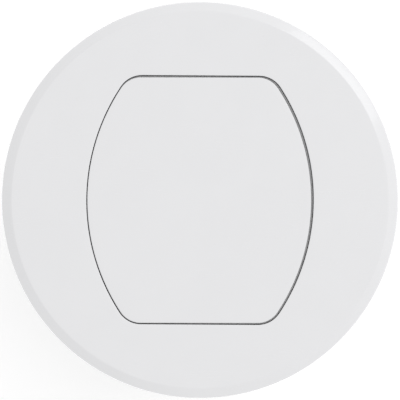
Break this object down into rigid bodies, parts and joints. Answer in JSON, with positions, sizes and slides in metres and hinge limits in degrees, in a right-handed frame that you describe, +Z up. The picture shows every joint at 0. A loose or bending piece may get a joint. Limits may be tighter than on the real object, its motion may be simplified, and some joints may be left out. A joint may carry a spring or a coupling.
{
  "type": "pop-up desk power unit",
  "caption": "Round flush-mounted pop-up power unit: a bevelled flange and barrel-shaped lid over a sprung tower of mains sockets and USB ports.",
  "frame": {"origin": "centre of the worktop hole, level with the worktop top face", "axes": "+Z up out of the worktop, the mains sockets face -Y and the USB ports +Y"},
  "size_m": [0.1334, 0.1334, 0.1526],
  "materials": {
    "white_gloss": "gloss white",
    "white_satin": "satin white",
    "black_housing": "fine moulded texture",
    "black_plastic": "moulded",
    "socket_black": "satin black",
    "inner_plastic": "moulded",
    "black_rubber": "matt",
    "grey_rubber": "matt",
    "zinc_steel": "zinc plated",
    "polished_steel": "ground and polished",
    "spring_steel": "drawn wire",
    "acetal": "natural acetal",
    "brass": "stamped sheet",
    "circuit_board": "solder mask",
    "test_grey": "moulded",
    "reset_red": "moulded",
    "lens_green": "clear lens"
  },
  "bodies": {
    "housing": {"trim_ring": "white_gloss", "housing": "black_housing", "wiper_seal": "black_rubber", "flange_gasket": "black_rubber", "guide_rods": "polished_steel", "stop_bumpers": "black_rubber", "lift_spring_left": "spring_steel", "lift_spring_right": "spring_steel", "damper_rack": "acetal", "rack_screws": "zinc_steel", "bottom_cap": "black_housing", "cap_screws": "zinc_steel", "cord_grommet": "black_rubber", "latch_block": "black_plastic", "latch_wire": "polished_steel", "latch_screws": "zinc_steel"},
    "clamp_washer": {"clamp_washer": "zinc_steel"},
    "lock_ring": {"lock_ring": "black_housing"},
    "tower": {"base_screws": "zinc_steel", "cam_screws": "zinc_steel", "control_board": "circuit_board", "damper_body": "black_plastic", "damper_screws": "zinc_steel", "earth_contacts": "brass", "gland_body": "black_plastic", "gland_bush": "black_rubber", "gland_locknut": "black_plastic", "gland_nut": "black_plastic", "guide_bushes": "acetal", "heart_cam": "acetal", "indicator_lens": "lens_green", "lid_carrier": "white_satin", "lid_cover": "white_gloss", "lid_screws": "zinc_steel", "lid_seal": "grey_rubber", "line_contacts": "brass", "neutral_contacts": "brass", "reset_button_spring": "spring_steel", "shutter_spring_lower": "spring_steel", "shutter_spring_upper": "spring_steel", "socket_body": "inner_plastic", "socket_face": "socket_black", "socket_rear_cover": "black_plastic", "terminal_screws": "zinc_steel", "test_button_spring": "spring_steel", "tower_back_shell": "white_satin", "tower_base": "black_plastic", "tower_front_shell": "white_satin", "usb_a_ports": "polished_steel", "usb_a_tongues": "socket_black", "usb_board": "circuit_board", "usb_c_port": "polished_steel", "usb_case": "black_plastic", "usb_face": "socket_black"},
    "damper_pinion": {"damper_pinion": "acetal"},
    "test_button": {"test_button": "test_grey"},
    "reset_button": {"reset_button": "reset_red"},
    "upper_shutter": {"shutter_upper": "inner_plastic"},
    "lower_shutter": {"shutter_lower": "inner_plastic"}
  },
  "joints": [
    {"name": "washer_travel", "type": "slide", "parent": "housing", "child": "clamp_washer", "axis": [0, 0, 1], "range_m": [-0.012, 0.026]},
    {"name": "lock_ring_turn", "type": "hinge", "parent": "clamp_washer", "child": "lock_ring", "pos_m": [0, 0, -0.046], "axis": [0, 0, 1], "range_deg": [-1080, 2340]},
    {"name": "tower_lift", "type": "slide", "parent": "housing", "child": "tower", "axis": [0, 0, 1], "range_m": [-0.002, 0.082], "deforming": ["lift_spring_left", "lift_spring_right", "latch_wire"]},
    {"name": "damper_spin", "type": "hinge", "parent": "tower", "child": "damper_pinion", "pos_m": [0, 0.03843, -0.121], "axis": [1, 0, 0], "range_deg": [-1180, 30]},
    {"name": "test_press", "type": "slide", "parent": "tower", "child": "test_button", "axis": [0, 1, 0], "range_m": [0, 0.0012], "stiffness_N_per_m": 400, "deforming": ["test_button_spring"]},
    {"name": "reset_press", "type": "slide", "parent": "tower", "child": "reset_button", "axis": [0, 1, 0], "range_m": [0, 0.0012], "stiffness_N_per_m": 400, "deforming": ["reset_button_spring"]},
    {"name": "upper_shutter_slide", "type": "slide", "parent": "tower", "child": "upper_shutter", "axis": [1, 0, 0], "range_m": [0, 0.003], "stiffness_N_per_m": 150, "deforming": ["shutter_spring_upper"]},
    {"name": "lower_shutter_slide", "type": "slide", "parent": "tower", "child": "lower_shutter", "axis": [1, 0, 0], "range_m": [0, 0.003], "stiffness_N_per_m": 150, "deforming": ["shutter_spring_lower"]}
  ],
  "couplings": [
    {"joint": "lock_ring_turn", "follows": "washer_travel", "rad_per_m": 1570.8},
    {"joint": "damper_spin", "follows": "tower_lift", "rad_per_m": -250}
  ]
}
